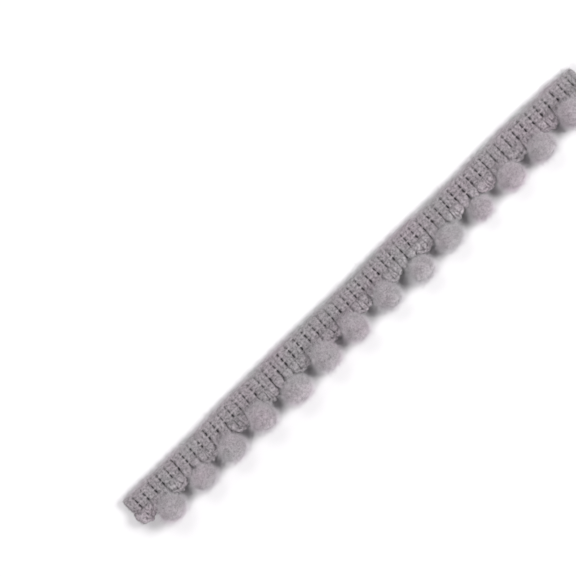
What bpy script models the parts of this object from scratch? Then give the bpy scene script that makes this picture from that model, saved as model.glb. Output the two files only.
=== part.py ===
"""Pompom fringe trim: one straight cut length of a ribbed tape with cut-pile pompoms along one edge.

Metres, +Z up. X runs along the trim, the plain edge is at +Y and the pompoms are at -Y. The trim lies on
z = 0: the tape rests on it along its plain edge and rises towards the pompoms, which hold it up.
"""
import math

import bmesh
import bpy
from mathutils import Vector

MM = 0.001

# Driving dimensions
POMPOM_PITCH = 9.08 * MM      # from one pompom's middle to the next
RIBS_PER_PITCH = 4            # weft ribs from one pompom to the next
RIBS_PAST_END_POMPOM = 3      # the end pompoms' own rib and a whole lobe
LOBE_TIP = 7.7 * MM           # from the plain edge to the tips of the lobes
POMPOM_LINE = 8.85 * MM       # from the plain edge to the line of the pompoms' middles
TAPE_THICKNESS = 1.8 * MM
RESTING_WIDTH = 3.0 * MM      # how much of the tape lies flat, from the plain edge
LOBE_LIFT = 1.6 * MM          # how high the underside of a lobe's tip is
LIFT_POWER = 1.3              # how the underside curves up to there: 1 is a straight slope
EDGE_ROUNDING = 0.5 * MM
RIB_DEPTH = 0.35 * MM         # depth of the grooves between ribs
GROOVE_SHARPNESS = 8          # the higher, the narrower the grooves
LOBE_TIP_RADIUS = 2.8 * MM    # of the lobes' rounded tips
CLEARANCE = 0.3 * MM          # between a pompom's mean outline and the notch that holds it
POMPOM_SINK = 0.2 * MM        # how far a pompom's underside is pressed flat
FACETS = 5                    # flats that the shears left around a pompom
FACET_WAVE = 0.022            # how deep they are, as a share of its size
CROWN_BUMPS = 3               # bumps around its crown, how they twist towards its top, and their size
CROWN_TWIST = 4
CROWN_WAVE = 0.012
RIB_PITCH = POMPOM_PITCH / RIBS_PER_PITCH
LOBE_HALF_WIDTH = 1.1 * RIB_PITCH  # a lobe holds two ribs, and a little of the next on each side

# Each pompom, from the left end. Millimetres: its middle's shift along the trim and away from the tape,
# its size along, across and upwards; and how far the trimmed facets are turned, in degrees.
POMPOM_COLUMNS = ("shift_along", "shift_out", "along", "across", "height", "turn")
POMPOMS = (
    (0.1, -0.1, 6.3, 6.3, 6.1, 10),
    (0.4, 0.1, 6.1, 5.7, 5.8, 75),
    (-0.2, -0.1, 6.3, 6.3, 6.2, 140),
    (-0.3, -0.3, 6.2, 7.3, 6.5, 30),
    (0.0, 0.6, 7.1, 6.1, 6.3, 200),
    (0.1, -0.2, 6.5, 6.9, 6.4, 265),
    (-0.4, -0.3, 5.9, 7.1, 6.2, 330),
    (0.1, -0.2, 5.7, 6.9, 6.1, 50),
    (0.1, 0.7, 6.3, 5.9, 6.0, 115),
    (-0.2, 0.0, 6.7, 5.7, 6.0, 180),
    (-0.2, 0.3, 5.1, 5.3, 5.4, 245),
    (0.0, -0.1, 6.3, 6.3, 6.2, 310),
    (-0.3, 0.0, 6.6, 6.1, 6.3, 20),
    (0.3, -0.7, 6.3, 6.5, 6.3, 85),
)

# How far the plain edge lies inside its straight line, in millimetres, at places along the trim
EDGE_COLUMNS = ("along", "inward")
EDGE_WAVE = (
    (-66.0, 0.2),
    (-47.0, 0.4),
    (-33.0, -0.1),
    (-18.0, -0.2),
    (-3.0, 0.0),
    (12.0, -0.2),
    (27.0, 0.1),
    (47.0, -0.2),
    (58.0, 0.15),
    (66.0, 0.6),
)

# Mesh fineness
COLUMNS_PER_RIB = 4
POMPOM_SEGMENTS = 16
POMPOM_RINGS = 9

TAPE_COLOUR = (0.36, 0.33, 0.35, 1.0)
POMPOM_COLOUR = (0.40, 0.37, 0.39, 1.0)


def clear_scene():
    for old in list(bpy.data.objects):
        bpy.data.objects.remove(old, do_unlink=True)


def yarn_material(name, colour):
    material = bpy.data.materials.new(name)
    material.use_nodes = True
    shader = material.node_tree.nodes["Principled BSDF"]
    shader.inputs["Base Color"].default_value = colour
    shader.inputs["Roughness"].default_value = 0.9
    shader.inputs["Metallic"].default_value = 0.0
    return material


def table_rows(columns, rows):
    return [dict(zip(columns, row)) for row in rows]


def pompom_places():
    """Each pompom's middle (along, distance from the plain edge) and its half sizes, in metres."""
    places = []
    rows = table_rows(POMPOM_COLUMNS, POMPOMS)
    middle = (len(rows) - 1) / 2
    for number, row in enumerate(rows):
        places.append({
            "along": (number - middle) * POMPOM_PITCH + row["shift_along"] * MM,
            "out": POMPOM_LINE + row["shift_out"] * MM,
            "half_along": row["along"] * MM / 2,
            "half_across": row["across"] * MM / 2,
            "half_height": row["height"] * MM / 2,
            "turn": math.radians(row["turn"]),
        })
    return places


def edge_inset(along):
    """How far inward the plain edge lies here: a smooth step from one row of the table to the next."""
    rows = table_rows(EDGE_COLUMNS, EDGE_WAVE)
    for left, right in zip(rows, rows[1:]):
        if along <= right["along"] * MM or right is rows[-1]:
            span = (along / MM - left["along"]) / (right["along"] - left["along"])
            ease = (1 - math.cos(math.pi * min(max(span, 0.0), 1.0))) / 2
            return (left["inward"] + (right["inward"] - left["inward"]) * ease) * MM


def rib_reach(along):
    """How far from the plain edge the rib here could run: to its lobe's rounded tip, or on to its pompom."""
    from_lobe = abs((along / POMPOM_PITCH + 0.5) % 1.0 - 0.5) * POMPOM_PITCH
    if from_lobe > LOBE_HALF_WIDTH:
        return math.inf
    return LOBE_TIP - from_lobe ** 2 / (2 * LOBE_TIP_RADIUS)


def tape_reach(along, places):
    """Distance from the plain edge to the tape's other edge: the ribs' ends, notched around the pompoms."""
    reach = rib_reach(along)
    for place in places:
        half = place["half_along"] + CLEARANCE
        beside = abs(along - place["along"]) / half
        if beside < 1:
            deep = (place["half_across"] + CLEARANCE) * math.sqrt(1 - beside ** 2)
            reach = min(reach, place["out"] - deep)
    return reach


def underside(out):
    """Height of the tape's underside at this distance from its plain edge."""
    past = max(out - RESTING_WIDTH, 0.0) / (LOBE_TIP - RESTING_WIDTH)
    return LOBE_LIFT * past ** LIFT_POWER


def tape_section(along, places):
    """The tape's outline at one place along it, as points (across, height), anticlockwise from +X."""
    inset = edge_inset(along)
    reach = tape_reach(along, places)
    groove = RIB_DEPTH * math.cos(math.pi * along / RIB_PITCH) ** GROOVE_SHARPNESS
    outer = reach - EDGE_ROUNDING
    halfway = (RESTING_WIDTH + outer) / 2
    inner = inset + EDGE_ROUNDING
    points = [(inset, TAPE_THICKNESS / 2)]
    points += [(out, underside(out)) for out in (inner, RESTING_WIDTH, halfway, outer)]
    points += [(reach, underside(reach) + TAPE_THICKNESS / 2)]
    points += [(out, underside(out) + TAPE_THICKNESS - groove) for out in (outer, halfway, RESTING_WIDTH)]
    points += [(inner, TAPE_THICKNESS - groove / 3)]
    return [(-out, height) for out, height in points]


def new_object(name, shape, material, parent, collection):
    mesh = bpy.data.meshes.new(name)
    shape.to_mesh(mesh)
    shape.free()
    mesh.materials.append(material)
    piece = bpy.data.objects.new(name, mesh)
    collection.objects.link(piece)
    piece.parent = parent
    return piece


def make_heading(places, parent, collection):
    """The tape: a loft between sections that change with the lobes, closed by a straight cut at each end."""
    pitches = len(places) - 1
    ribs = pitches * RIBS_PER_PITCH + 2 * RIBS_PAST_END_POMPOM
    length = ribs * RIB_PITCH
    count = ribs * COLUMNS_PER_RIB
    shape = bmesh.new()
    rings = []
    for column in range(count + 1):
        along = (column / count - 0.5) * length
        rings.append([shape.verts.new((along, across, height))
                      for across, height in tape_section(along, places)])
    for left, right in zip(rings, rings[1:]):
        for corner in range(len(left)):
            following = (corner + 1) % len(left)
            shape.faces.new((left[corner], right[corner], right[following], left[following]))
    shape.faces.new(rings[0])
    shape.faces.new(list(reversed(rings[-1])))
    bmesh.ops.recalc_face_normals(shape, faces=shape.faces[:])
    return new_object("heading", shape, yarn_material("tape_yarn", TAPE_COLOUR), parent, collection)


def trimmed(direction, turn):
    """How the shears left a pompom in this direction, as a share of its mean size."""
    around = math.atan2(direction.y, direction.x) + turn
    facets = FACET_WAVE * math.cos(FACETS * around) * (1 - direction.z ** 2)
    crown = CROWN_WAVE * math.cos(CROWN_BUMPS * around + CROWN_TWIST * direction.z)
    return 1.0 + facets + crown


def make_pompom(number, place, material, parent, collection):
    """A slightly irregular ball of cut pile, pressed flat where it lies."""
    shape = bmesh.new()
    bmesh.ops.create_uvsphere(shape, u_segments=POMPOM_SEGMENTS, v_segments=POMPOM_RINGS, radius=1.0)
    centre_height = place["half_height"] - POMPOM_SINK
    for vertex in shape.verts:
        direction = vertex.co.normalized()
        size = trimmed(direction, place["turn"])
        height = size * direction.z * place["half_height"]
        vertex.co = Vector((
            size * direction.x * place["half_along"],
            size * direction.y * place["half_across"],
            max(height, -centre_height),
        ))
    pompom = new_object(f"pompom_{number:02d}", shape, material, parent, collection)
    pompom.location = (place["along"], -place["out"], centre_height)
    return pompom


def world_corners(pieces):
    bpy.context.view_layer.update()
    points = [piece.matrix_world @ vertex.co for piece in pieces for vertex in piece.data.vertices]
    low = Vector([min(point[axis] for point in points) for axis in range(3)])
    high = Vector([max(point[axis] for point in points) for axis in range(3)])
    return low, high


def make_trim():
    clear_scene()
    collection = bpy.data.collections.new("pompom_fringe_trim")
    bpy.context.scene.collection.children.link(collection)
    trim = bpy.data.objects.new("trim", None)
    collection.objects.link(trim)
    places = pompom_places()
    pieces = [make_heading(places, trim, collection)]
    pile = yarn_material("pompom_pile", POMPOM_COLOUR)
    for number, place in enumerate(places, start=1):
        pieces.append(make_pompom(number, place, pile, trim, collection))
    for piece in pieces:
        piece.data.shade_smooth()
    low, high = world_corners(pieces)
    trim.location = (-(low.x + high.x) / 2, -(low.y + high.y) / 2, -low.z)


make_trim()
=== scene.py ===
"""Looks of the pompom fringe trim: ribs of soft weft yarn, chain stitches, looped lobes and cut-pile pompoms.

Metres, in the CAD model's frame: X along the trim, the plain edge at +Y, the pompoms at -Y, z = 0 under it.
"""
import math
from collections import namedtuple

import bmesh
import bpy
import numpy as np
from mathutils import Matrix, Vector
from mathutils.bvhtree import BVHTree


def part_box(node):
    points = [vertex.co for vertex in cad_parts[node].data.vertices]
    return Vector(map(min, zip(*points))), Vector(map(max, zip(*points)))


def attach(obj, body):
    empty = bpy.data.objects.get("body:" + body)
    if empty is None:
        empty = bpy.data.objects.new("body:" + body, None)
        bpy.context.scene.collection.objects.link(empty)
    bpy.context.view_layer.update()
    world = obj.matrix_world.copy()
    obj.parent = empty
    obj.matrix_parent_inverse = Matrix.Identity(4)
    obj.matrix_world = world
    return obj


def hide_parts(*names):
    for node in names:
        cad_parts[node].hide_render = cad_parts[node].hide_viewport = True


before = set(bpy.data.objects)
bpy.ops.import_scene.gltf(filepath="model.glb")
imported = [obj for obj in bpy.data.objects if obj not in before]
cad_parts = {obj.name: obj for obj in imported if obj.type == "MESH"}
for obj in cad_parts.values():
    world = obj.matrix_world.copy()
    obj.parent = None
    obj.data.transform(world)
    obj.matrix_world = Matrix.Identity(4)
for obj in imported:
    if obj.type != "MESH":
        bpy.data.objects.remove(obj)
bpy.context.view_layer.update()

MM = 0.001
SEED = 41
rng = np.random.default_rng(SEED)


# -------------------- shapes from arrays

TINY = 1e-12               # keeps a division from failing
UPRIGHT = 0.9              # a direction this steep or steeper counts as upright
FIBRE_SIDES = 3
FIBRE_WAIST = 0.8          # a bent fibre's radius at its bend, as a share of that at its root
LUMP_WAVES = 7
WAVE_LENGTHS = (0.8, 1.5)  # as shares of the lumps' size

Lumps = namedtuple("Lumps", "depth size seed")  # of a surface, a line or a value that varies


class Shape:
    """Points and faces gathered for one mesh."""

    def __init__(self):
        self.points = []
        self.faces = []
        self.count = 0

    def add(self, points, *face_groups):
        points = np.asarray(points, float).reshape(-1, 3)
        for faces in face_groups:
            self.faces.append(np.asarray(faces, np.int64) + self.count)
        self.points.append(points)
        self.count += len(points)

    def build(self, name, material):
        mesh = bpy.data.meshes.new(name)
        points = np.concatenate(self.points)
        corners = np.concatenate([group.ravel() for group in self.faces])
        sizes = np.concatenate([np.full(len(group), group.shape[1]) for group in self.faces])
        starts = np.concatenate([[0], np.cumsum(sizes)[:-1]])
        mesh.vertices.add(len(points))
        mesh.vertices.foreach_set("co", points.astype(np.float32).ravel())
        mesh.loops.add(len(corners))
        mesh.loops.foreach_set("vertex_index", corners.astype(np.int32))
        mesh.polygons.add(len(sizes))
        mesh.polygons.foreach_set("loop_start", starts.astype(np.int32))
        mesh.update(calc_edges=True)
        mesh.validate()
        return new_piece(name, mesh, material)


def new_piece(name, mesh, material):
    """A smoothly shaded object of this mesh in the scene."""
    mesh.shade_smooth()
    mesh.materials.append(material)
    piece = bpy.data.objects.new(name, mesh)
    bpy.context.scene.collection.objects.link(piece)
    return piece


def unit(vectors):
    return vectors / np.maximum(np.linalg.norm(vectors, axis=-1, keepdims=True), TINY)


def across(directions):
    """Two unit vectors square to each direction."""
    helper = np.where(np.abs(directions[:, 2:3]) < UPRIGHT, [[0.0, 0.0, 1.0]], [[1.0, 0.0, 0.0]])
    first = unit(np.cross(directions, helper))
    return first, np.cross(directions, first)


def raise_to(height, *groups):
    """Raises the points that lie lower than this."""
    for points in groups:
        points[:, 2] = np.maximum(points[:, 2], height)


def share_between(values, ends):
    """How far each value has come from the first end to the second, from 0 to 1."""
    start, finish = ends
    return np.clip((values - start) / (finish - start), 0, 1)


def add_fibres(shape, roots, tips, radius, middles=None):
    """Pointed fibres, each a closed body of three sides. With middles they are bent there."""
    first, second = across(unit(tips - roots))
    turns = np.arange(FIBRE_SIDES)[:, None] * 2 * math.pi / FIBRE_SIDES
    ring = first[:, None] * np.cos(turns) + second[:, None] * np.sin(turns)
    ring = ring * np.broadcast_to(radius, len(tips))[:, None, None]
    rings = [roots[:, None] + ring]
    sides = [(side, (side + 1) % FIBRE_SIDES) for side in range(FIBRE_SIDES)]
    quads = np.empty((0, 4), int)
    if middles is not None:
        rings.append(middles[:, None] + ring * FIBRE_WAIST)
        quads = np.array([(a, b, b + FIBRE_SIDES, a + FIBRE_SIDES) for a, b in sides])
    last_ring = FIBRE_SIDES * (len(rings) - 1)
    tip = last_ring + FIBRE_SIDES
    triangles = np.array([(a + last_ring, b + last_ring, tip) for a, b in sides] + [(2, 1, 0)])
    points = np.concatenate([*rings, tips[:, None]], axis=1)
    base = np.arange(len(tips))[:, None, None] * points.shape[1]
    shape.add(points, (base + quads).reshape(-1, 4), (base + triangles).reshape(-1, 3))


def waves(points, size, seed):
    """Smooth waves of many directions at once, mostly between -1 and 1, about this size apart."""
    draw = np.random.default_rng(seed)
    directions = unit(draw.normal(size=(LUMP_WAVES, 3)))
    lengths = size * draw.uniform(*WAVE_LENGTHS, LUMP_WAVES)
    phases = draw.uniform(0, 2 * math.pi, LUMP_WAVES)
    turns = points @ (directions / lengths[:, None]).T * 2 * math.pi + phases
    return np.sin(turns).sum(-1) / math.sqrt(LUMP_WAVES * 2)


def uneven(points, *layers, shift=0):
    """Unevenness at these points: the sum of these layers of lumps, with this added to their seeds."""
    return sum(layer.depth * waves(points, layer.size, layer.seed + shift) for layer in layers)


# -------------------- the tape's form, read from the CAD frame

# As in the CAD model
RIBS_PER_PITCH = 4        # from one pompom to the next
RIBS_PER_LOBE = 2         # the others end in a pompom
RIBS_PAST_END_POMPOM = 3
TAPE_THICKNESS = 1.8 * MM
RESTING_WIDTH = 3.0 * MM  # how much of the tape lies flat, from the plain edge
LOBE_TIP = 7.7 * MM       # from the plain edge
LOBE_LIFT = 1.6 * MM      # how high the underside of a lobe's tip is
LIFT_POWER = 1.3          # how the underside curves up to there

PLACE_DIGITS = 5  # decimals that tell places along the tape apart
SAME_PLACE = 0.02 * MM

# Chain stitch lines: millimetres from the plain edge, the share of the strand's height that each presses in,
# how far its threads lie under their usual height in millimetres, and the share of the gaps between ribs into
# which they have dropped
Wale = namedtuple("Wale", "out pressed lower dropped")
WALES = (
    Wale(1.10, 0.15, 0.02, 0.15),
    Wale(2.06, 0.17, 0.02, 0.12),
    Wale(3.30, 0.17, 0.02, 0.12),
    Wale(4.56, 0.28, 0.12, 0.75),
)
LAST_WALE = WALES[-1].out * MM

pompom_nodes = sorted(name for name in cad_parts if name.startswith("pompom_"))
tape_low, tape_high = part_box("heading")
tape_length = tape_high[0] - tape_low[0]
RIB_COUNT = (len(pompom_nodes) - 1) * RIBS_PER_PITCH + 2 * RIBS_PAST_END_POMPOM
RIB_PITCH = tape_length / RIB_COUNT


def tape_outline():
    """Places along the tape, and there the Y of its plain edge and of its lobed edge."""
    points = np.array([vertex.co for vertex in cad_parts["heading"].data.vertices])
    places = np.unique(points[:, 0].round(PLACE_DIGITS))
    nearest = [points[np.abs(points[:, 0] - place) < SAME_PLACE] for place in places]
    plain = np.array([group[:, 1].max() for group in nearest])
    lobed = np.array([group[:, 1].min() for group in nearest])
    return places, plain, lobed


OUTLINE_X, OUTLINE_PLAIN, OUTLINE_LOBED = tape_outline()
PLAIN_Y = float(np.median(OUTLINE_PLAIN))


def edge_inset(x):
    """How far the plain edge lies inside its own middle line."""
    return PLAIN_Y - np.interp(x, OUTLINE_X, OUTLINE_PLAIN)


def underside(out):
    """Height of the tape's underside at this distance from its plain edge."""
    past = np.maximum(out - RESTING_WIDTH, 0.0) / (LOBE_TIP - RESTING_WIDTH)
    return LOBE_LIFT * past ** LIFT_POWER


def tape_points(x, out, above=0.0):
    """Points from places along the tape, distances from its plain edge and heights over its mid-plane."""
    x, out = np.broadcast_arrays(np.asarray(x, float), np.asarray(out, float))
    fade = np.clip(1 - out / LAST_WALE, 0, 1)
    y = PLAIN_Y - out - edge_inset(x) * fade
    z = underside(out) + TAPE_THICKNESS / 2 + above
    return np.stack([x, y, z], axis=-1)


def places_along(per_mm, inside):
    """Random places along the tape: this many a millimetre, and this far inside its ends."""
    count = int(tape_length / MM * per_mm)
    return rng.uniform(tape_low[0] + inside, tape_high[0] - inside, count)


# -------------------- materials

YARN_ROUGHNESS = 0.95
YARN_SPECULAR = 0.15
SHEEN_ROUGHNESS = 0.6
BLOTCHES = (2300.0, 4.0)  # scale and detail of the noise
TONE_ENDS = (0.34, 0.66)  # noise at which the darker and the lighter tone are reached
HUE_DRIFT = (130.0, 1.0)  # scale and detail
HUE_ENDS = (0.35, 0.65)   # noise at which each hue is reached
HUES = ((1.025, 0.98, 1.0), (0.97, 1.01, 0.98))
FUZZ = (7000.0, 3.0)      # scale and detail
FUZZ_DEPTH = 0.06 * MM
LOBE_LIGHTENS = (4.7 * MM, 6.3 * MM)  # from the plain edge, where painted light makes the lobes' yarn lighter; and below, the pompoms' outer pile
PILE_LIGHTENS = (9.5 * MM, 10.9 * MM)


def noise(tree, place, scale, detail):
    texture = tree.nodes.new("ShaderNodeTexNoise")
    texture.inputs["Scale"].default_value = scale
    texture.inputs["Detail"].default_value = detail
    tree.links.new(place, texture.inputs["Vector"])
    return texture.outputs["Fac"]


def ramp(tree, value, ends, colours):
    """From the first colour to the second, between these ends of the value."""
    node = tree.nodes.new("ShaderNodeValToRGB")
    for stop, end, colour in zip(node.color_ramp.elements, ends, colours):
        stop.position = end
        stop.color = (*colour, 1)
    tree.links.new(value, node.inputs["Fac"])
    return node.outputs["Color"]


def multiplied(tree, first, second):
    product = tree.nodes.new("ShaderNodeMix")
    product.data_type = "RGBA"
    product.blend_type = "MULTIPLY"
    product.inputs["Factor"].default_value = 1.0
    tree.links.new(first, product.inputs["A"])
    tree.links.new(second, product.inputs["B"])
    return product.outputs["Result"]


def painted_lightening(tree, place, lightening, lightened_between):
    """Painted light: a factor from 1 to this one, away from the plain edge between these distances from it,
    that lightens the colour there.
    """
    parts = tree.nodes.new("ShaderNodeSeparateXYZ")
    factor = tree.nodes.new("ShaderNodeMapRange")
    factor.inputs["From Min"].default_value = PLAIN_Y - lightened_between[0]
    factor.inputs["From Max"].default_value = PLAIN_Y - lightened_between[1]
    factor.inputs["To Min"].default_value = 1.0
    factor.inputs["To Max"].default_value = lightening
    tree.links.new(place, parts.inputs["Vector"])
    tree.links.new(parts.outputs["Y"], factor.inputs["Value"])
    return factor.outputs["Result"]


def fuzzy_normal(tree, place, strength):
    bump = tree.nodes.new("ShaderNodeBump")
    bump.inputs["Strength"].default_value = strength
    bump.inputs["Distance"].default_value = FUZZ_DEPTH
    tree.links.new(noise(tree, place, *FUZZ), bump.inputs["Height"])
    return bump.outputs["Normal"]


def yarn_material(name, light, dark, sheen, bump, lightening=1.0, lightened_between=LOBE_LIGHTENS):
    """Soft acrylic yarn: blotches of two tones, a faint drift of hue along the trim, and fine fuzz as bump.

    Away from the plain edge its colour is made lighter by the factor lightening: painted light, on the lobes
    and on the pompoms' outer sides.
    """
    material = bpy.data.materials.new(name)
    material.use_nodes = True
    tree = material.node_tree
    shader = tree.nodes["Principled BSDF"]
    shader.inputs["Roughness"].default_value = YARN_ROUGHNESS
    shader.inputs["Specular IOR Level"].default_value = YARN_SPECULAR
    shader.inputs["Sheen Weight"].default_value = sheen
    shader.inputs["Sheen Roughness"].default_value = SHEEN_ROUGHNESS

    place = tree.nodes.new("ShaderNodeTexCoord").outputs["Object"]
    tones = ramp(tree, noise(tree, place, *BLOTCHES), TONE_ENDS, (dark, light))
    hues = ramp(tree, noise(tree, place, *HUE_DRIFT), HUE_ENDS, HUES)
    tinted = multiplied(tree, tones, hues)
    # painted light: lighter away from the plain edge
    coloured = multiplied(tree, tinted, painted_lightening(tree, place, lightening, lightened_between))
    tree.links.new(coloured, shader.inputs["Base Color"])
    tree.links.new(fuzzy_normal(tree, place, bump), shader.inputs["Normal"])
    return material


# Painted light: the tape's yarn is made lighter on the lobes, and the pile and its fluff on the pompoms'
# outer sides
tape_yarn = yarn_material("tape_yarn", light=(0.370, 0.336, 0.359), dark=(0.156, 0.141, 0.152),
                          sheen=0.25, bump=0.8, lightening=1.33)
thread_yarn = yarn_material("thread_yarn", light=(0.40, 0.364, 0.388), dark=(0.25, 0.227, 0.242),
                            sheen=0.2, bump=0.4)
pile_yarn = yarn_material("pile_yarn", light=(0.388, 0.349, 0.377), dark=(0.205, 0.183, 0.199),
                          sheen=0.8, bump=0.5, lightening=1.36, lightened_between=PILE_LIGHTENS)
# Painted light: the stray hairs and fibres are coloured lighter than the yarn they come from, for light that
# shines through thin fibres
lit_stray_yarn = yarn_material("lit_stray_yarn", light=(0.60, 0.548, 0.585), dark=(0.46, 0.418, 0.448),
                           sheen=0.3, bump=0.2)
lit_stray_fibre = yarn_material("lit_stray_fibre", light=(0.90, 0.87, 0.90), dark=(0.78, 0.755, 0.78),
                            sheen=0.3, bump=0.2)
lit_stray_pile = yarn_material("lit_stray_pile", light=(0.63, 0.585, 0.625), dark=(0.50, 0.463, 0.496),
                           sheen=0.3, bump=0.2, lightening=1.35, lightened_between=PILE_LIGHTENS)


# -------------------- the course of the weft yarn

STRAND_STEP = 0.17 * MM
CURVE_STEPS = 12  # between two control points, before the line is divided evenly
FEWEST_STEPS = 3

# How far the ribs have slid along the trim: places along it and the slides there, in millimetres
RIB_DRIFT = (
    (-66.0, 0.0),
    (-45.0, -0.08),
    (-38.0, 0.05),
    (-26.0, -0.44),
    (-12.0, -0.05),
    (0.0, -0.36),
    (9.0, -0.25),
    (18.0, -0.45),
    (29.0, -0.38),
    (37.0, 0.06),
    (46.0, -0.18),
    (60.0, 0.15),
    (66.0, 0.0),
)

# Control points of the weft, in millimetres. The columns: along the trim from the rib's, the petal's or the
# lobe's middle, out from the plain edge, above the tape's mid-plane, and the strand's half width and height
ALONG, OUT, ABOVE, HALF_WIDTH, HALF_HEIGHT = range(5)
RIB_SIDE = (
    (0.43, 1.05, 0.00, 0.62, 0.84),
    (0.44, 1.80, 0.00, 0.65, 0.87),
    (0.44, 2.70, 0.00, 0.65, 0.87),
    (0.43, 3.60, 0.00, 0.64, 0.87),
    (0.43, 4.40, 0.00, 0.64, 0.84),
)
EDGE_TURN = (     # over to the next rib along the plain edge
    (0.50, 1.02, 0.00, 0.48, 0.76),
    (0.74, 0.98, 0.00, 0.38, 0.66),
    (1.135, 0.97, 0.00, 0.35, 0.62),
)
CUT_END = (
    (0.36, 0.85, 0.00, 0.52, 0.78),
    (0.34, 0.60, 0.00, 0.46, 0.70),
)
PETAL_SIDE = (    # each rib of a lobe swells past the last chain line and turns back
    (0.36, 5.05, 0.08, 0.58, 0.82),
    (0.29, 5.60, 0.22, 0.60, 0.84),
    (0.20, 6.15, 0.20, 0.54, 0.74),
    (0.00, 6.46, 0.00, 0.40, 0.58),
)
TONGUE_SIDE = (   # a narrow loop between the petals, out to the lobe's tip
    (0.24, 4.70, -0.02, 0.40, 0.60),
    (0.24, 5.40, 0.12, 0.42, 0.68),
    (0.26, 6.20, 0.11, 0.38, 0.66),
    (0.25, 6.95, -0.10, 0.36, 0.56),
    (0.20, 7.42, -0.14, 0.36, 0.52),
    (0.00, 7.62, -0.16, 0.34, 0.46),
)
LOBE_ROUND = (    # the loop round the whole lobe under its petals, from left to right
    (-1.72, 4.40, -0.14, 0.40, 0.54),
    (-2.10, 5.30, -0.04, 0.48, 0.66),
    (-2.06, 6.05, -0.12, 0.46, 0.60),
    (-1.74, 6.82, -0.10, 0.45, 0.60),
    (-1.26, 7.26, -0.08, 0.42, 0.58),
    (-0.66, 7.40, -0.13, 0.38, 0.54),
    (0.00, 7.42, -0.16, 0.38, 0.52),
    (0.62, 7.16, -0.19, 0.37, 0.51),
    (1.30, 7.12, -0.02, 0.46, 0.61),
    (1.76, 6.60, -0.10, 0.42, 0.60),
    (1.86, 5.85, -0.12, 0.44, 0.60),
    (1.90, 5.20, -0.06, 0.44, 0.60),
    (1.72, 4.40, -0.14, 0.40, 0.54),
)
LOBE_FILLING = (  # a loop that lies lower, inside that one
    (1.15, 5.00, -0.30, 0.42, 0.50),
    (1.12, 6.20, -0.20, 0.42, 0.55),
    (0.70, 6.60, -0.24, 0.40, 0.54),
    (0.00, 6.70, -0.28, 0.38, 0.50),
)
POMPOM_END = (    # the ribs between lobes run on into their pompom
    (0.46, 5.00, 0.02, 0.70, 0.82),
    (0.50, 5.60, 0.04, 0.70, 0.80),
    (0.50, 6.30, 0.00, 0.64, 0.72),
    (0.42, 7.00, -0.10, 0.54, 0.58),
)

# A lobe's left and right petal, and its tongue
PETAL_LEANS = (-0.31 * MM, 0.045 * MM)  # from their ribs' middles
PETAL_SHORT = (0.0, 0.12 * MM)  # how much shorter they are than in the table
TONGUE_SHIFT = -0.05 * MM

# Petals and loops at random: how much longer they are, the stretch out from the plain edge in which they grow
# so, and how far they are shifted along the trim
PETAL_LONGER = (-0.22 * MM, 0.14 * MM)
PETAL_GROWS = (5.0 * MM, 6.4 * MM)
LOOP_LONGER = (-0.15 * MM, 0.12 * MM)
LOOP_GROWS = (5.0 * MM, 7.0 * MM)
LOOP_SHIFT = (-0.1 * MM, 0.1 * MM)
LOOP_WANDER = 0.09 * MM  # of its points

# A pompom's left and right rib
CLOSING = 0.24 * MM             # how far their inner strands lean to each other
POMPOM_TOP_OUT = 5.8 * MM       # where a pompom begins, from the plain edge, that doesn't hang low
PARTING = 1.5                   # they part by this many times what a pompom hangs lower
MOST_HANGING = 0.38 * MM        # which counts up to here
OUTER_LEANS = (-0.10 * MM, 0.24 * MM)  # how far the left and the right outer strand lean inward
OUTER_LEAN_SPREAD = 0.07 * MM
LEANING = (4.5 * MM, 6.0 * MM)  # the stretch in which strands lean, out from the plain edge
CORNER_LEAN = (0.0, 0.45 * MM)  # and how much further the outer ones do, at random
CORNER_LEANING = (6.1 * MM, 6.7 * MM)

SELVEDGE = {OUT: 0.97, ABOVE: 0.0, HALF_WIDTH: 0.34, HALF_HEIGHT: 0.52}  # millimetres
SELVEDGE_STEP = 1.0 * MM
SELVEDGE_INSIDE = (0.35 * MM, 0.30 * MM)  # how far it stays inside the tape's left and right end


def length_along(line):
    """Distance along a line from its start to each of its points."""
    return np.concatenate([[0], np.cumsum(np.linalg.norm(np.diff(line, axis=0), axis=1))])


def smooth_line(controls):
    """A smooth line through control points, divided evenly."""
    ends = np.vstack([2 * controls[0] - controls[1], controls, 2 * controls[-1] - controls[-2]])
    share = np.linspace(0, 1, CURVE_STEPS, endpoint=False)[:, None]
    pieces = []
    for a, b, c, d in zip(ends, ends[1:], ends[2:], ends[3:]):
        pieces.append(0.5 * (2 * b + (c - a) * share + (2 * a - 5 * b + 4 * c - d) * share ** 2
                             + (3 * b - a - 3 * c + d) * share ** 3))
    line = np.vstack(pieces + [controls[-1:]])
    gone = length_along(line)
    even = np.linspace(0, gone[-1], max(int(gone[-1] / STRAND_STEP), FEWEST_STEPS) + 1)
    return np.stack([np.interp(even, gone, column) for column in line.T], axis=-1)


def rib_drift(x):
    """How far the ribs have slid along the trim here, from where even spacing would put them."""
    places, slides = (np.array(RIB_DRIFT) * MM).T
    return np.interp(x, places, slides)


def rib_middle(rib):
    return (rib + 0.5 - RIB_COUNT / 2) * RIB_PITCH


def course(rows, middle, side, lean=0.0):
    """Control points on one side of a middle line, in metres."""
    points = np.array(rows) * MM
    points[:, ALONG] = middle + side * points[:, ALONG] + lean
    return points


def out_and_back(rows, middle, lean=0.0):
    """Out on the left of a middle line, round a turn and back on its right."""
    return np.vstack([course(rows, middle, -1, lean), course(rows[:-1], middle, 1, lean)[::-1]])


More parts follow.
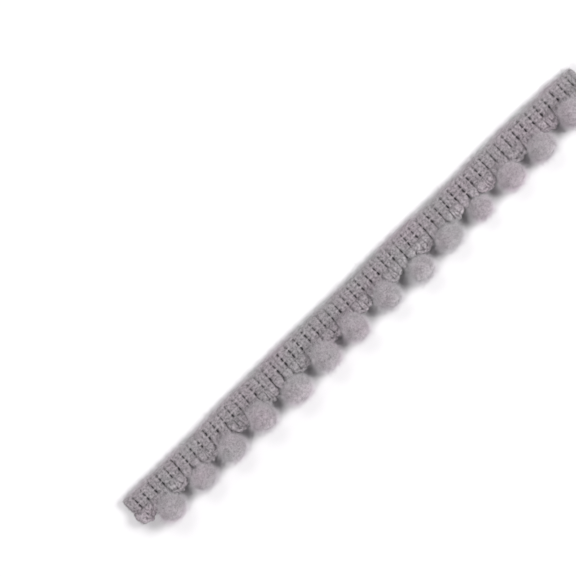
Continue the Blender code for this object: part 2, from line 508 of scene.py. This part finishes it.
def petal(rib):
    """Out from the last chain line, round the petal at this rib's end and back."""
    number = rib % RIBS_PER_PITCH
    loop = out_and_back(PETAL_SIDE, rib_middle(rib), PETAL_LEANS[number])
    longer = rng.uniform(*PETAL_LONGER) - PETAL_SHORT[number]
    loop[:, OUT] += longer * share_between(loop[:, OUT], PETAL_GROWS)
    loop[:, ALONG] += rng.uniform(*LOOP_SHIFT)
    return loop


def edge_turn(rib):
    """Along the plain edge from this rib to the next."""
    here = course(EDGE_TURN, rib_middle(rib), 1)
    there = course(EDGE_TURN[:-1], rib_middle(rib + 1), -1)[::-1]
    return np.vstack([here, there])


def to_pompom(rib, side):
    """From the last chain line into the pile.

    A pompom's two ribs close up, but part over a pompom that hangs low.
    """
    end = course(POMPOM_END, rib_middle(rib), side)
    number = rib % RIBS_PER_PITCH - RIBS_PER_LOBE
    inward = (1, -1)[number]  # to the pompom's other rib
    outer_lean = OUTER_LEANS[number] + rng.normal(0, OUTER_LEAN_SPREAD)
    _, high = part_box(pompom_nodes[rib // RIBS_PER_PITCH])
    hanging = min(max(PLAIN_Y - high[1] - POMPOM_TOP_OUT, 0.0), MOST_HANGING)
    lean = CLOSING - PARTING * hanging if side == inward else outer_lean
    shift = lean * share_between(end[:, OUT], LEANING)
    if side != inward:
        shift += rng.uniform(*CORNER_LEAN) * share_between(end[:, OUT], CORNER_LEANING)
    end[:, ALONG] += inward * shift
    return end


def weft_runs():
    """The weft's course as runs of yarn, each from one pompom or cut end to the next."""
    runs = []
    run = [course(CUT_END, rib_middle(0), -1)[::-1], course(RIB_SIDE, rib_middle(0), -1)]
    for rib in range(RIB_COUNT):
        if rib % RIBS_PER_PITCH < RIBS_PER_LOBE:
            run.append(petal(rib))
        else:
            run.append(to_pompom(rib, -1))
            runs.append(np.vstack(run))
            run = [to_pompom(rib, 1)[::-1]]
        run.append(course(RIB_SIDE, rib_middle(rib), 1)[::-1])
        if rib < RIB_COUNT - 1:
            run += [edge_turn(rib), course(RIB_SIDE, rib_middle(rib + 1), -1)]
    run.append(course(CUT_END, rib_middle(RIB_COUNT - 1), 1))
    runs.append(np.vstack(run))
    return runs


def lobe_runs():
    """The loops under the petals: one round each lobe, one that fills it, and one out to its tip."""
    runs = []
    for rib in range(0, RIB_COUNT, RIBS_PER_PITCH):
        middle = rib_middle(rib) + RIB_PITCH / 2
        loops = [course(LOBE_ROUND, middle, 1), out_and_back(LOBE_FILLING, middle),
                 out_and_back(TONGUE_SIDE, middle, TONGUE_SHIFT)]
        for loop in loops:
            loop[:, ALONG] += rng.uniform(*LOOP_SHIFT)
            loop[:, OUT] += rng.uniform(*LOOP_LONGER) * share_between(loop[:, OUT], LOOP_GROWS)
            loop[1:-1, [ALONG, OUT]] += rng.normal(0, LOOP_WANDER, (len(loop) - 2, 2))
        runs += loops
    return runs


def selvedge_run():
    """The soft strand in which the ribs' ends are bound along the plain edge."""
    left, right = SELVEDGE_INSIDE
    x = np.arange(tape_low[0] + left, tape_high[0] - right, SELVEDGE_STEP)
    run = np.empty((len(x), HALF_HEIGHT + 1))
    run[:, ALONG] = x
    for column, value in SELVEDGE.items():
        run[:, column] = value * MM
    return run


# -------------------- strands of yarn and the fuzz on them

STRAND_SIDES = 12
ROUND = 2.0                # squareness of an oval
STRAND_SQUARENESS = 2.5
STRAND_LOWEST = 0.01 * MM  # over the ground
STRAND_SWAY = Lumps(0.04 * MM, 3.0 * MM, 9)
STRAND_LUMPS = (Lumps(0.035 * MM, 0.8 * MM, 5), Lumps(0.045 * MM, 0.4 * MM, 6))
STRAND_LOOSENS = (4.6 * MM, 5.2 * MM)  # where its plies and lumps fade, from the plain edge
LOOSE_FIRMNESS = 0.35      # and what stays of them
PLIES = 3
PLY_TURN = 3.4 * MM        # length in which the plies go once round the strand
PLY_WANDER = Lumps(1.0, 2.0 * MM, 4)  # radians
PLY_DEPTH = 0.05 * MM
PLY_SHARPNESS = 5          # the higher, the narrower the grooves between them

# What the chain stitches do to the strand
WALE_WIDTH = 0.22 * MM
WALE_FIRMNESS = Lumps(0.8, 1.4 * MM, 17)
GAP_DOTS = ((2.6, 0.06), (4.04, 0.18))  # millimetres from the plain edge, and the share that it narrows there
GAP_WIDTH = 0.3 * MM
GAP_LUMPS = Lumps(0.9, 1.5 * MM, 15)
WIDTH_LUMPS = Lumps(0.07, 2.4 * MM, 16)
CREASE_OUT = 4.70 * MM  # where the yarn swells out of the last chain stitches
CREASE_WIDTH = 0.15 * MM
CREASE_DEPTH = 0.5      # a share of the strand's height

FUZZ_PER_MM = 34
BEFORE_LAST = 1.001      # keeps a place between two points of the strand
FUZZ_AROUND = 0.8        # spread round the strand, from its top, in radians
FUZZ_ROOT = 0.93         # share of the strand's half sizes
FUZZ_LEANS = (1.0, 0.8)  # spread of the hairs' lean along the strand and round it
FUZZ_LEAN = 0.6          # how strongly they lean
FUZZ_LIFT = (0.15, 0.8)  # how strongly they stand off
FUZZ_SCATTER = 0.15
FUZZ_LENGTH = (0.18 * MM, 0.42 * MM)
FUZZ_RADIUS = 0.026 * MM
TIP_LOWEST = 0.02 * MM   # over the ground

END_HAIRS = 900          # on each of the tape's two cut ends
END_DEPTH = 1.5 * MM     # how far in from an end they begin
END_FACING = 0.35        # the faces that they stand on look out of the end by this much or more
END_SCATTER = 0.06 * MM  # of their roots
END_ROOT = 0.06 * MM     # how deep these are
END_LIFT = 0.8           # how strongly the hairs stand off, and lean any way
END_LEAN = 0.6
END_LENGTH = (0.22 * MM, 0.5 * MM)
END_RADIUS = 0.028 * MM
END_LOWEST = 0.04 * MM   # their roots, over the ground


def flat_places(line):
    """Where a line runs along and across the trim, with no heights."""
    return np.column_stack([line[:, ALONG], line[:, OUT], np.zeros(len(line))])


def dent(out, place, width):
    """1 at this distance from the plain edge, and 0 away from it."""
    return np.exp(-((out - place) / width) ** 2)


def pinched(line):
    """The strand's half sizes, pressed by the chain stitches and drawn away from the gaps between them."""
    out, wide, high = line[:, OUT], line[:, HALF_WIDTH].copy(), line[:, HALF_HEIGHT].copy()
    places = flat_places(line)
    firmness = 1 + uneven(places, WALE_FIRMNESS)
    for wale in WALES:
        high *= 1 - wale.pressed * firmness * dent(out, wale.out * MM, WALE_WIDTH)
    strength = 1 + uneven(places, GAP_LUMPS)
    for place, narrowing in GAP_DOTS:
        wide *= 1 - narrowing * strength * dent(out, place * MM, GAP_WIDTH)
    wide *= 1 + uneven(places, WIDTH_LUMPS)
    high *= 1 - CREASE_DEPTH * dent(out, CREASE_OUT, CREASE_WIDTH)
    return wide, high


def rounded_section(sides, squareness):
    """Turns round a section, and there the shares of its half width and half height."""
    turns = np.arange(sides) * 2 * math.pi / sides
    beside = np.sign(np.cos(turns)) * np.abs(np.cos(turns)) ** (2 / squareness)
    above = np.sign(np.sin(turns)) * np.abs(np.sin(turns)) ** (2 / squareness)
    return turns, beside[:, None], above[:, None]


def tube_faces(rings, sides):
    """The quads between the rings of a tube, and its two ends."""
    ring, side = np.meshgrid(np.arange(rings - 1), np.arange(sides), indexing="ij")
    following = (side + 1) % sides
    quads = np.stack([ring * sides + side, ring * sides + following,
                      (ring + 1) * sides + following, (ring + 1) * sides + side], axis=-1)
    ends = np.stack([np.arange(sides)[::-1], np.arange(sides) + (rings - 1) * sides])
    return quads.reshape(-1, 4), ends


def add_strand(shape, centre, wide, high, sides, squareness, plied, lumpy):
    """A tube along a line that never stands upright.

    "plied" and "lumpy" are the shares that it has of the grooves between plies and of the usual lumps. It
    returns the directions to its side and its top along the line, for the fibres on it.
    """
    ahead = unit(np.gradient(centre, axis=0))
    side = unit(np.cross([0.0, 0.0, 1.0], ahead))
    up = np.cross(ahead, side)
    turns, beside, above = rounded_section(sides, squareness)
    ring = (side[:, None] * (beside * wide[:, None, None])
            + up[:, None] * (above * high[:, None, None]))
    points = (centre[:, None] + ring).reshape(-1, 3)
    wound = 2 * math.pi * length_along(centre)[:, None] / PLY_TURN
    laid = PLIES / 2 * (turns - wound) + uneven(centre, PLY_WANDER)[:, None]
    grooves = PLY_DEPTH * np.abs(np.cos(laid)) ** PLY_SHARPNESS * np.reshape(plied, (-1, 1))
    swellings = uneven(points, *STRAND_LUMPS).reshape(laid.shape) * np.reshape(lumpy, (-1, 1))
    points += unit(ring.reshape(-1, 3)) * (swellings - grooves).reshape(-1, 1)
    raise_to(STRAND_LOWEST, points)
    shape.add(points, *tube_faces(len(centre), sides))
    return side, up


def add_fuzz(shape, centre, wide, high, side, up):
    """Short hairs along a strand, most of them on its upper half."""
    count = int(length_along(centre)[-1] / MM * FUZZ_PER_MM)
    place = rng.uniform(0, len(centre) - BEFORE_LAST, count)
    low = place.astype(int)
    share = (place - low)[:, None]
    turn = rng.normal(math.pi / 2, FUZZ_AROUND, count)[:, None]
    ahead = unit(np.gradient(centre, axis=0))

    def here(values):
        values = values.reshape(len(centre), -1)
        return values[low] * (1 - share) + values[low + 1] * share

    beside, above = here(side) * np.cos(turn), here(up) * np.sin(turn)
    normal = unit(beside / here(wide) + above / here(high))
    roots = here(centre) + (beside * here(wide) + above * here(high)) * FUZZ_ROOT
    along, around = FUZZ_LEANS
    lean = unit(here(ahead) * rng.normal(0, along, (count, 1))
                + np.cross(here(ahead), normal) * rng.normal(0, around, (count, 1)))
    reach = rng.uniform(*FUZZ_LENGTH, (count, 1))
    lift = rng.uniform(*FUZZ_LIFT, (count, 1))
    way = normal * lift + lean * FUZZ_LEAN + rng.normal(0, FUZZ_SCATTER, (count, 3))
    tips = roots + unit(way) * reach
    raise_to(TIP_LOWEST, tips)
    add_fibres(shape, roots, tips, FUZZ_RADIUS)


def polygon_vectors(mesh, attribute):
    """The centres or the normals of a mesh's faces."""
    values = np.empty(len(mesh.polygons) * 3)
    mesh.polygons.foreach_get(attribute, values)
    return values.reshape(-1, 3)


def add_end_fuzz(shape, mesh, end, way):
    """Short hairs on the faces of the weft that look out of one cut end of the tape."""
    draw = np.random.default_rng(SEED + way)
    centres = polygon_vectors(mesh, "center")
    normals = polygon_vectors(mesh, "normal")
    outside = (way * (centres[:, 0] - end) > -END_DEPTH) & (way * normals[:, 0] > END_FACING)
    chosen = draw.choice(np.flatnonzero(outside), END_HAIRS)
    scatter = draw.normal(0, END_SCATTER, (END_HAIRS, 3))
    roots = centres[chosen] + scatter - normals[chosen] * END_ROOT
    lean = unit(normals[chosen] * END_LIFT + draw.normal(0, END_LEAN, (END_HAIRS, 3)))
    tips = roots + lean * draw.uniform(*END_LENGTH, (END_HAIRS, 1))
    raise_to(END_LOWEST, roots)
    raise_to(TIP_LOWEST, tips)
    add_fibres(shape, roots, tips, END_RADIUS)


def make_weft():
    """The weft yarn, and the fuzz on it in two pieces."""
    weft = Shape()
    left_fuzz, right_fuzz = Shape(), Shape()
    for run in weft_runs() + lobe_runs() + [selvedge_run()]:
        line = smooth_line(run)
        x, out = line[:, ALONG], line[:, OUT]
        wide, high = pinched(line)
        sway = uneven(flat_places(line), STRAND_SWAY)
        centre = tape_points(x + rib_drift(x) + sway, out, line[:, ABOVE])
        firm = np.maximum(1 - share_between(out, STRAND_LOOSENS), LOOSE_FIRMNESS)
        side, up = add_strand(weft, centre, wide, high, STRAND_SIDES, STRAND_SQUARENESS, firm, firm)
        add_fuzz(left_fuzz if x.mean() < 0 else right_fuzz, centre, wide, high, side, up)
    ribs = weft.build("weft_ribs", tape_yarn)
    add_end_fuzz(left_fuzz, ribs.data, tape_low[0], -1)
    add_end_fuzz(right_fuzz, ribs.data, tape_high[0], 1)
    return [ribs, left_fuzz.build("weft_fuzz_left", tape_yarn),
            right_fuzz.build("weft_fuzz_right", tape_yarn)]


# -------------------- chain stitches and the ground

CHAIN_SIDES = 6
CHAIN_STEPS = 8  # a rib

# Chain stitches, in millimetres
CHAIN_APART = 0.05           # from the wale's middle to each of its two threads, between ribs
CHAIN_SPREAD = (0.04, 0.17)  # how much more over a rib, at random
CHAIN_WANDER = 0.05          # of each thread, out from the plain edge or towards it
CHAIN_HEIGHT = 0.58          # over the tape's mid-plane, between ribs
CHAIN_RISE = 0.25            # how much more over a rib
CHAIN_ROUNDNESS = 0.6        # the lower, the sooner it has risen
CHAIN_SUNK = (0.0, 0.1)      # how much lower at random
CHAIN_DROP = (0.2, 0.5)      # how much lower where it has dropped into the gap between two ribs
CHAIN_RADIUS = 0.13          # between ribs
CHAIN_THINNER = 0.03         # how much less over a rib

GROUND_ROWS = 7
GROUND_COLUMNS = 4               # a rib
GROUND_INSIDE = 0.2 * MM         # how far it stays inside the tape's ends
GROUND_PLAIN_INSIDE = 0.35 * MM  # inside its plain edge
GROUND_LOBED_INSIDE = 0.5 * MM   # and inside its lobed edge
GROUND_HEIGHT = 0.5 * MM         # over the tape's underside
GROUND_THICKNESS = 0.3 * MM


def make_chains():
    """Chain stitches: two threads a wale that cross between ribs and spread over each, no two quite alike."""
    shape = Shape()
    along = np.linspace(0, RIB_COUNT - 1, (RIB_COUNT - 1) * CHAIN_STEPS + 1)
    x = rib_middle(along)
    x = x + rib_drift(x)
    over = np.abs(np.cos(math.pi * along))
    knots = np.arange(-1, RIB_COUNT + 1, 0.5)
    between_ribs = knots % 1 == 0.5
    for wale in WALES:
        fallen = between_ribs & (rng.uniform(size=len(knots)) < wale.dropped)
        drop = fallen * rng.uniform(*CHAIN_DROP, len(knots))
        for leg in (-1, 1):
            wander = np.interp(along, knots, rng.normal(0, CHAIN_WANDER, len(knots)))
            spread = np.interp(along, knots, rng.uniform(*CHAIN_SPREAD, len(knots)))
            sunk = np.interp(along, knots, rng.uniform(*CHAIN_SUNK, len(knots)) + drop)
            out = wale.out + leg * (CHAIN_APART + spread * over) + wander
            above = CHAIN_HEIGHT + CHAIN_RISE * over ** CHAIN_ROUNDNESS - wale.lower - sunk
            centre = tape_points(x, out * MM, above * MM)
            radius = (CHAIN_RADIUS - CHAIN_THINNER * over) * MM
            add_strand(shape, centre, radius, radius, CHAIN_SIDES, ROUND, plied=0, lumpy=1)
    return shape.build("chain_stitches", thread_yarn)


def make_ground():
    """The knitted ground between and under the ribs, one thin sheet in the tape's outline, and its area."""
    sheet = bmesh.new()
    columns = []
    first, last = tape_low[0] + GROUND_INSIDE, tape_high[0] - GROUND_INSIDE
    for x in np.linspace(first, last, RIB_COUNT * GROUND_COLUMNS + 1):
        plain = PLAIN_Y - GROUND_PLAIN_INSIDE - float(edge_inset(x))
        lobed = float(np.interp(x, OUTLINE_X, OUTLINE_LOBED)) + GROUND_LOBED_INSIDE
        across_tape = np.linspace(plain, lobed, GROUND_ROWS)
        heights = underside(PLAIN_Y - across_tape) + GROUND_HEIGHT
        columns.append([sheet.verts.new((x, y, z)) for y, z in zip(across_tape, heights)])
    for left, right in zip(columns, columns[1:]):
        for row in range(GROUND_ROWS - 1):
            sheet.faces.new((left[row], left[row + 1], right[row + 1], right[row]))
    area = sum(face.calc_area() for face in sheet.faces)
    mesh = bpy.data.meshes.new("knit_ground")
    sheet.to_mesh(mesh)
    sheet.free()
    ground = new_piece("knit_ground", mesh, tape_yarn)
    thicken = ground.modifiers.new("thickness", "SOLIDIFY")
    thicken.thickness = GROUND_THICKNESS
    thicken.offset = 0
    return ground, area


# -------------------- hairs along the plain edge

HAIRS_PER_MM = 50
HAIR_INSIDE = 0.4 * MM    # how far they stay inside the tape's ends
HAIR_NEAREST = 0.55 * MM  # to the plain edge
HAIR_SCATTER = 0.65 * MM  # and how far further in most of them are
HAIR_HEIGHT = (0.45 * MM, 0.80 * MM)  # of their roots over the tape's mid-plane
HAIR_WAYS = ((0, 0.9), (0.35, 0.6), (0.12, 0.12))  # mean and spread along the trim, to its plain edge and up
HAIR_LENGTH = (0.4 * MM, 1.0 * MM)
HAIR_RADIUS = 0.028 * MM

RIM_HAIRS_PER_MM = 90
RIM_INSIDE = 0.3 * MM
RIM_OUT = 0.98 * MM     # middle line of the plain edge's rounding
RIM_HALF_WIDTH = 0.42 * MM
RIM_HALF_HEIGHT = 0.54 * MM
RIM_TURNS = (0.2, 1.6)  # the part of it that they stand on, in radians upwards from level
RIM_ALONG = 0.8         # spread of their directions along the trim
RIM_UPWARD = 0.7        # how much of the rounding's rise they follow
RIM_SCATTER = 0.2
RIM_LENGTH = (0.18 * MM, 0.5 * MM)
RIM_RADIUS = 0.03 * MM

# Fibres that stand out from the plain edge: how many a millimetre, their least length and how much more they
# have on average, in millimetres, whether they are bent, and their radius
Fringe = namedtuple("Fringe", "per_mm shortest more bent radius")
FRINGES = (
    Fringe(30, 0.25, 0.34, False, 0.03 * MM),
    Fringe(30, 0.62, 0.50, True, 0.024 * MM),
)
FRINGE_INSIDE = 0.2 * MM
FRINGE_OUT = (0.55 * MM, 1.0 * MM)     # of their roots, from the plain edge
FRINGE_HEIGHT = (0.05 * MM, 0.3 * MM)  # and over the tape's mid-plane, mean and spread
FRINGE_LONGEST = 2.2            # millimetres
FRINGE_ALONG = 0.8              # spread of their directions along the trim
FRINGE_UPWARD = 0.35            # and upwards or downwards
FRINGE_BEND = (0.6, 0.6, 0.18)  # how much they bend along the trim, across it and up
FRINGE_SHARE = 0.55             # of a fibre's length on each side of its bend
FRINGE_LOWEST = 0.05 * MM       # over the ground


def make_edge_hairs():
    """Hairs brushed over the ribs along the plain edge, fewer of them further in."""
    shape = Shape()
    x = places_along(HAIRS_PER_MM, HAIR_INSIDE)
    count = len(x)
    out = HAIR_NEAREST + np.abs(rng.normal(0, HAIR_SCATTER, count))
    roots = tape_points(x, out, rng.uniform(*HAIR_HEIGHT, count))
    way = np.column_stack([rng.normal(mean, spread, count) for mean, spread in HAIR_WAYS])
    tips = roots + unit(way) * rng.uniform(*HAIR_LENGTH, (count, 1))
    add_fibres(shape, roots, tips, HAIR_RADIUS)
    return shape.build("edge_hairs", lit_stray_yarn)


def add_rim(shape):
    """Short hairs all round the rounding of the plain edge."""
    x = places_along(RIM_HAIRS_PER_MM, RIM_INSIDE)
    count = len(x)
    turn = rng.uniform(*RIM_TURNS, count)
    roots = tape_points(x, RIM_OUT - RIM_HALF_WIDTH * np.cos(turn), RIM_HALF_HEIGHT * np.sin(turn))
    way = np.column_stack([rng.normal(0, RIM_ALONG, count), np.cos(turn), RIM_UPWARD * np.sin(turn)])
    way = unit(way + rng.normal(0, RIM_SCATTER, way.shape))
    tips = roots + way * rng.uniform(*RIM_LENGTH, (count, 1))
    add_fibres(shape, roots, tips, RIM_RADIUS)


def add_fringe(shape, fringe):
    """Fibres that stand out from the plain edge."""
    x = places_along(fringe.per_mm, FRINGE_INSIDE)
    count = len(x)
    roots = tape_points(x, rng.uniform(*FRINGE_OUT, count), rng.normal(*FRINGE_HEIGHT, count))
    reach = fringe.shortest + rng.exponential(fringe.more, count)
    step = np.minimum(reach, FRINGE_LONGEST)[:, None] * MM * FRINGE_SHARE
    way = unit(np.column_stack([rng.normal(0, FRINGE_ALONG, count), np.ones(count),
                                rng.normal(0, FRINGE_UPWARD, count)]))
    middles = roots + way * step
    tips = middles + unit(way + rng.normal(size=(count, 3)) * FRINGE_BEND) * step
    raise_to(FRINGE_LOWEST, roots, middles, tips)
    add_fibres(shape, roots, tips, fringe.radius, middles if fringe.bent else None)


def make_edge_halo():
    """Fine fibres that stand out from the plain edge: many short ones, and some that are long and bent."""
    shape = Shape()
    for fringe in FRINGES:
        add_fringe(shape, fringe)
    add_rim(shape)
    return shape.build("edge_halo", lit_stray_fibre)


# -------------------- pompoms

FACETS = 13                 # flats that the shears left on a pompom
FACET_REACH = (0.90, 0.99)  # from its middle, as shares of the way to the CAD form
LEAST_TOWARDS = 0.01        # for directions that turn away from a flat
NESTLING = 0.27 * MM        # how much further the pile reaches towards the tape
OUTER_SHORT = 0.38 * MM     # how much less away from it, where more of it is fluff

CORE_SHARE = 0.91        # of the form's size
CORE_FINENESS = 4
CORE_LUMPS = Lumps(0.05 * MM, 0.7 * MM, 20)
CORE_LOWEST = 0.05 * MM  # over the ground

PILE_PER_POMPOM = 4900
PILE_SHORT = 0.20 * MM       # how far the dense pile stays under the form, whose outside is fluff
PILE_SCATTER = 0.06          # of its fibres' directions
PILE_LUMPS = (Lumps(0.12 * MM, 1.1 * MM, 50), Lumps(0.09 * MM, 0.5 * MM, 80))
PILE_UNEVEN = (0.12, 0.09)   # millimetres: how much longer it is on average, and how much is cut off
PILE_LEAN = 0.30             # millimetres at the tips
PILE_ROOT = 0.84             # share of the form's size
PILE_RADIUS = (0.05, 0.085)  # millimetres
PILE_LOWEST = 0.06 * MM      # its roots, over the ground

HALO_PER_POMPOM = 3200
HALO_SPREAD = (1.0, 1.0, 0.55)  # most of the fibres stand out sideways
HALO_SHIFT = (0.0, -0.4, 0.0)   # and more of them away from the tape
HALO_ROOT = 0.6 * MM            # under the form
HALO_LEAN = 0.4                 # spread of its fibres' directions
HALO_RADIUS = 0.024 * MM
HALO_LOWEST = 0.04 * MM         # over the ground

# How far the halo stands out of the form, in millimetres
HALO_REACH = 0.52     # on average, at random
HALO_SIDEWAYS = 0.16  # how much more of that along the trim
HALO_OUTER = 0.14     # how much more away from the tape
HALO_CORNER = 0.8     # how much more between these two
HALO_CUT = 0.1        # how much less everywhere
HALO_LONGEST = 1.9


def even_directions(count):
    """Directions spread evenly over a sphere."""
    number = np.arange(count) + 0.5
    height = 1 - 2 * number / count
    turn = number * math.pi * (3 - math.sqrt(5))
    flat = np.sqrt(1 - height ** 2)
    return np.column_stack([flat * np.cos(turn), flat * np.sin(turn), height])


class Trimmed:
    """A pompom's form: its CAD node, cut to flats by the shears on the side away from the tape."""

    def __init__(self, name):
        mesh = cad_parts[name].data
        self.tree = BVHTree.FromPolygons([vertex.co.copy() for vertex in mesh.vertices],
                                         [tuple(polygon.vertices) for polygon in mesh.polygons])
        low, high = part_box(name)
        self.middle = (Vector(low) + Vector(high)) / 2
        self.ways = unit(rng.normal(size=(FACETS, 3)))
        self.ways[:, 1] = -np.abs(self.ways[:, 1])
        self.cuts = self.node_reach(self.ways) * rng.uniform(*FACET_REACH, FACETS)

    def node_reach(self, directions):
        """Distance from the middle to the CAD node's surface in each direction."""
        hits = [self.tree.ray_cast(self.middle, Vector(way)) for way in directions]
        return np.array([distance for _, _, _, distance in hits])

    def reach(self, directions):
        """Distance from the middle to the trimmed form in each direction, nestled against the tape."""
        towards = np.maximum(directions @ self.ways.T, LEAST_TOWARDS)
        reach = np.minimum(self.node_reach(directions), (self.cuts / towards).min(axis=1))
        inner, outer = np.maximum(directions[:, 1], 0), np.maximum(-directions[:, 1], 0)
        return reach + NESTLING * inner - OUTER_SHORT * outer ** 2


def add_core(shape, form, number):
    """The dense inside of a pompom."""
    ball = bmesh.new()
    bmesh.ops.create_icosphere(ball, subdivisions=CORE_FINENESS, radius=1.0)
    directions = np.array([vertex.co for vertex in ball.verts])
    faces = np.array([[vertex.index for vertex in face.verts] for face in ball.faces])
    ball.free()
    points = np.array(form.middle) + directions * form.reach(directions)[:, None] * CORE_SHARE
    points += directions * uneven(points, CORE_LUMPS, shift=number)[:, None]
    raise_to(CORE_LOWEST, points)
    shape.add(points, faces)


def add_pile(shape, form, number):
    """Dense pointed fibres, in clumps and trimmed to the form."""
    centre = np.array(form.middle)
    directions = even_directions(PILE_PER_POMPOM)
    directions = unit(directions + rng.normal(0, PILE_SCATTER, directions.shape))
    reach = form.reach(directions)
    clumps = uneven(centre + directions * reach[:, None], *PILE_LUMPS, shift=number)
    longer, cut = PILE_UNEVEN
    trim = reach - PILE_SHORT + clumps + (rng.exponential(longer, len(reach)) - cut) * MM
    lean = rng.normal(0, PILE_LEAN, directions.shape)
    tips = centre + unit(directions * (trim / MM)[:, None] + lean) * trim[:, None]
    roots = centre + directions * reach[:, None] * PILE_ROOT
    raise_to(TIP_LOWEST, tips)
    raise_to(PILE_LOWEST, roots)
    add_fibres(shape, roots, tips, rng.uniform(*PILE_RADIUS, len(reach)) * MM)


def add_pompom_halo(shape, form):
    """Fine fibres that the shears missed, standing out of a pompom."""
    directions = unit(rng.normal(size=(HALO_PER_POMPOM, 3)) * HALO_SPREAD + HALO_SHIFT)
    surface = np.array(form.middle) + directions * form.reach(directions)[:, None]
    outer = np.maximum(-directions[:, 1], 0)
    sideways = np.abs(directions[:, 0])
    reach = rng.exponential(HALO_REACH + HALO_SIDEWAYS * sideways ** 2) - HALO_CUT
    reach += HALO_OUTER * outer + HALO_CORNER * outer * sideways
    lean = unit(directions + rng.normal(0, HALO_LEAN, directions.shape))
    tips = surface + lean * np.minimum(reach, HALO_LONGEST)[:, None] * MM
    roots = surface - directions * HALO_ROOT
    raise_to(HALO_LOWEST, roots, tips)
    add_fibres(shape, roots, tips, HALO_RADIUS)


def make_pompom(number, name, halo):
    """A ball of cut pile. Its halo is added to the one that all pompoms share."""
    form = Trimmed(name)
    shape = Shape()
    add_core(shape, form, number)
    add_pile(shape, form, number)
    add_pompom_halo(halo, form)
    return shape.build(f"pompom_pile_{number:02d}", pile_yarn)


# -------------------- stage, light and camera

FLOOR_SIZE = 3.0
FLOOR_COLOUR = (0.775, 0.764, 0.775, 1)
FLOOR_ROUGHNESS = 0.9
FLOOR_SPECULAR = 0.1

ROOM_ENDS = (0.45, 0.9)  # of the height in the world, and the room's colours there
ROOM_COLOURS = ((0.33, 0.327, 0.338), (0.065, 0.064, 0.067))

# Soft lamps: metres, watts
Lamp = namedtuple("Lamp", "name place width height power")
LAMPS = (
    Lamp("left", (-0.40, -0.11, 0.42), 0.26, 0.26, 2.0),
    Lamp("right", (0.40, -0.13, 0.42), 0.26, 0.26, 3.05),
    Lamp("back", (0.00, 0.42, 0.42), 0.50, 0.26, 1.3),
)

# The photograph's view
PHOTO_SIDE_PX = 576
PHOTO_PX_PER_M = 4750.0
TRIM_ANGLE_DEG = 44.28           # the trim runs this far up from the photo's horizontal
TRIM_MIDDLE_PX = (371.7, 311.1)  # the middle of the trim's length, on a line through the pompoms
TRIM_LINE_PX = 40.5              # how far that line is from the plain edge
LENS_MM = 200.0
SENSOR_MM = 36.0
VIEWED_HEIGHT = 2.5 * MM         # over the ground, where the photo's scale holds
CLIP_SHARES = (0.1, 20)          # of the camera's distance


def make_stage():
    bpy.ops.mesh.primitive_plane_add(size=FLOOR_SIZE, location=(0, 0, 0))
    floor = bpy.context.object
    floor.name = "floor"
    material = bpy.data.materials.new("pale_floor")
    material.use_nodes = True
    shader = material.node_tree.nodes["Principled BSDF"]
    shader.inputs["Base Color"].default_value = FLOOR_COLOUR
    shader.inputs["Roughness"].default_value = FLOOR_ROUGHNESS
    shader.inputs["Specular IOR Level"].default_value = FLOOR_SPECULAR
    floor.data.materials.append(material)
    return floor


def make_world():
    """A pale room that is darker overhead, so that what lies deep between the pompoms stays in shade."""
    world = bpy.data.worlds.new("soft_room")
    world.use_nodes = True
    tree = world.node_tree
    place = tree.nodes.new("ShaderNodeTexCoord")
    parts = tree.nodes.new("ShaderNodeSeparateXYZ")
    tree.links.new(place.outputs["Generated"], parts.inputs["Vector"])
    colour = ramp(tree, parts.outputs["Z"], ROOM_ENDS, ROOM_COLOURS)
    background = tree.nodes["Background"]
    tree.links.new(colour, background.inputs["Color"])
    background.inputs["Strength"].default_value = 1.0
    bpy.context.scene.world = world


def make_lamps():
    """A soft lamp towards each end of the trim, and a weaker one on the plain edge's side."""
    for lamp in LAMPS:
        data = bpy.data.lights.new(f"{lamp.name}_softbox", "AREA")
        data.shape = "RECTANGLE"
        data.size = lamp.width
        data.size_y = lamp.height
        data.energy = lamp.power
        softbox = bpy.data.objects.new(f"{lamp.name}_softbox", data)
        softbox.location = lamp.place
        softbox.rotation_euler = (-softbox.location).to_track_quat("-Z", "Y").to_euler()
        bpy.context.scene.collection.objects.link(softbox)


def make_camera():
    """Straight above, turned so that the trim runs across the frame as in the photograph."""
    angle = math.radians(TRIM_ANGLE_DEG)
    right = Vector((math.cos(angle), -math.sin(angle), 0))
    up = Vector((math.sin(angle), math.cos(angle), 0))
    middle_px = PHOTO_SIDE_PX / 2
    trim_middle = Vector((0, PLAIN_Y - TRIM_LINE_PX / PHOTO_PX_PER_M, 0))
    from_middle = right * (middle_px - TRIM_MIDDLE_PX[0]) + up * (TRIM_MIDDLE_PX[1] - middle_px)
    target = trim_middle + from_middle / PHOTO_PX_PER_M
    distance = PHOTO_SIDE_PX / PHOTO_PX_PER_M * LENS_MM / SENSOR_MM
    data = bpy.data.cameras.new("camera")
    data.lens = LENS_MM
    data.sensor_width = SENSOR_MM
    data.clip_start, data.clip_end = [distance * share for share in CLIP_SHARES]
    camera = bpy.data.objects.new("camera", data)
    camera.location = (target.x, target.y, distance + VIEWED_HEIGHT)
    camera.rotation_euler = (0, 0, -angle)
    bpy.context.scene.collection.objects.link(camera)
    bpy.context.scene.camera = camera
    bpy.context.scene.view_settings.view_transform = "Standard"


# -------------------- the scene

make_camera()
floor = make_stage()
make_world()
make_lamps()

ground, ground_area = make_ground()
weft = make_weft()
chains = make_chains()
hairs = make_edge_hairs()
halo = make_edge_halo()
pompom_halo = Shape()
pompoms = [make_pompom(number, name, pompom_halo) for number, name in enumerate(pompom_nodes, start=1)]
fluff = pompom_halo.build("pompom_halo", lit_stray_pile)

for piece in [ground, chains, hairs, halo, *weft]:
    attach(piece, "root")
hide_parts("heading")
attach(fluff, "root")
for piece, name in zip(pompoms, pompom_nodes):
    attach(piece, "root")
    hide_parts(name)
